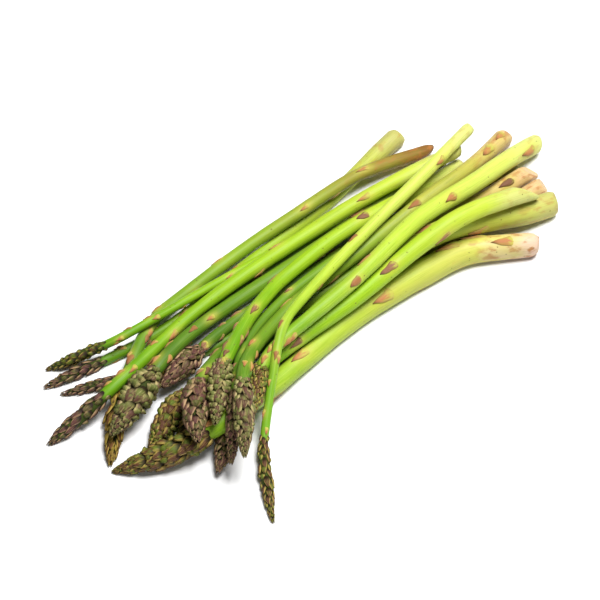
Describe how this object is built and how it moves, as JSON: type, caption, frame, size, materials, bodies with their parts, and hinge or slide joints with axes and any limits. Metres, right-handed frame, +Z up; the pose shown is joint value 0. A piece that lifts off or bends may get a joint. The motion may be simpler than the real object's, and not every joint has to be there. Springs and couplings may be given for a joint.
{
  "type": "bundle of asparagus",
  "caption": "Loose bundle of fresh green asparagus lying on a surface, cut butts at one end and scaly heads fanned out at the other.",
  "frame": {"origin": "middle of the bundle's footprint, on the surface it lies on", "axes": "+X along the spears towards their heads, +Y towards the side of the hooked heads, +Z up"},
  "size_m": [0.2858, 0.1302, 0.0332],
  "materials": {
    "stem_green": "smooth waxy green skin with purple-brown scales",
    "butt_pale": "smooth waxy pale green skin"
  },
  "bodies": {
    "root": {"spear_front": "stem_green", "spear_edge": "butt_pale", "spear_olive": "stem_green", "spear_pointed_butt": "stem_green", "spear_twig": "stem_green", "spear_back_club": "butt_pale", "spear_hidden_brown": "stem_green", "spear_wide_head": "stem_green", "spear_raised_tip": "stem_green", "spear_brown_cut": "stem_green", "spear_dark_low": "stem_green", "spear_thin_left": "stem_green", "spear_slant_butt": "stem_green", "spear_under_pink": "stem_green", "spear_long_left": "stem_green", "spear_pink_butt": "stem_green", "spear_wide_top": "stem_green", "spear_hook_top": "stem_green"}
  },
  "joints": []
}
